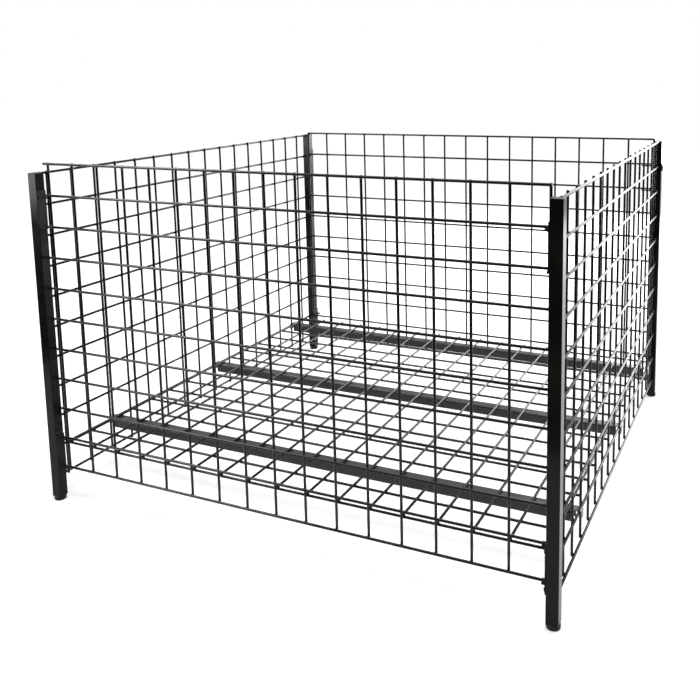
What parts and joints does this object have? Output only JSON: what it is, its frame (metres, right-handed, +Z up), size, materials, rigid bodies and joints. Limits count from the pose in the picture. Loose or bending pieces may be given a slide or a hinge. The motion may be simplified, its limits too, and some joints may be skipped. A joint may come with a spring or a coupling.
{
  "type": "retail dump bin",
  "caption": "Square open-top wire dump bin: welded side frames on four posts, lift-off front and back grid panels, and a loose wire shelf on hook-on bars.",
  "frame": {"origin": "centre of the footprint, on the floor under the four glides", "axes": "+Z up, +X to the bin's right seen from the front, front panel at -Y"},
  "size_m": [1.2904, 1.2842, 0.8456],
  "materials": {
    "posts": "semi-gloss black powder coat",
    "post_lids": "moulded black plastic",
    "glides": "moulded black plastic",
    "brackets": "semi-gloss black powder coat",
    "bolts": "black",
    "shelf_bars": "semi-gloss black powder coat",
    "wire_grids": "semi-gloss black powder coat"
  },
  "bodies": {
    "frame": {"post_front_left": "posts", "post_lid_front_left": "post_lids", "panel_bracket_front_left_upper": "brackets", "panel_bracket_front_left_lower": "brackets", "post_front_right": "posts", "post_lid_front_right": "post_lids", "panel_bracket_front_right_upper": "brackets", "panel_bracket_front_right_lower": "brackets", "post_rear_left": "posts", "post_lid_rear_left": "post_lids", "panel_bracket_rear_left_upper": "brackets", "panel_bracket_rear_left_lower": "brackets", "post_rear_right": "posts", "post_lid_rear_right": "post_lids", "panel_bracket_rear_right_upper": "brackets", "panel_bracket_rear_right_lower": "brackets", "foot_glides": "glides", "bracket_bolts": "bolts", "side_grid_left": "wire_grids", "side_grid_right": "wire_grids"},
    "front_panel": {"front_grid": "wire_grids"},
    "back_panel": {"back_grid": "wire_grids"},
    "middle_bar": {"shelf_bar_middle": "shelf_bars"},
    "front_bar": {"shelf_bar_front": "shelf_bars"},
    "rear_bar": {"shelf_bar_rear": "shelf_bars"},
    "shelf": {"shelf_grid": "wire_grids"}
  },
  "joints": [
    {"name": "front_panel_lift", "type": "slide", "parent": "frame", "child": "front_panel", "axis": [0, 0, 1], "range_m": [0, 0.015]},
    {"name": "back_panel_lift", "type": "slide", "parent": "frame", "child": "back_panel", "axis": [0, 0, 1], "range_m": [0, 0.015]},
    {"name": "middle_bar_lift", "type": "slide", "parent": "frame", "child": "middle_bar", "axis": [0, 0, 1], "range_m": [0, 0.022]},
    {"name": "front_bar_lift", "type": "slide", "parent": "frame", "child": "front_bar", "axis": [0, 0, 1], "range_m": [0, 0.022]},
    {"name": "rear_bar_lift", "type": "slide", "parent": "frame", "child": "rear_bar", "axis": [0, 0, 1], "range_m": [0, 0.022]},
    {"name": "shelf_lift", "type": "slide", "parent": "middle_bar", "child": "shelf", "axis": [0, 0, 1], "range_m": [0, 0.72]}
  ],
  "couplings": [
    {"joint": "front_bar_lift", "follows": "middle_bar_lift", "ratio": 1},
    {"joint": "rear_bar_lift", "follows": "middle_bar_lift", "ratio": 1}
  ]
}
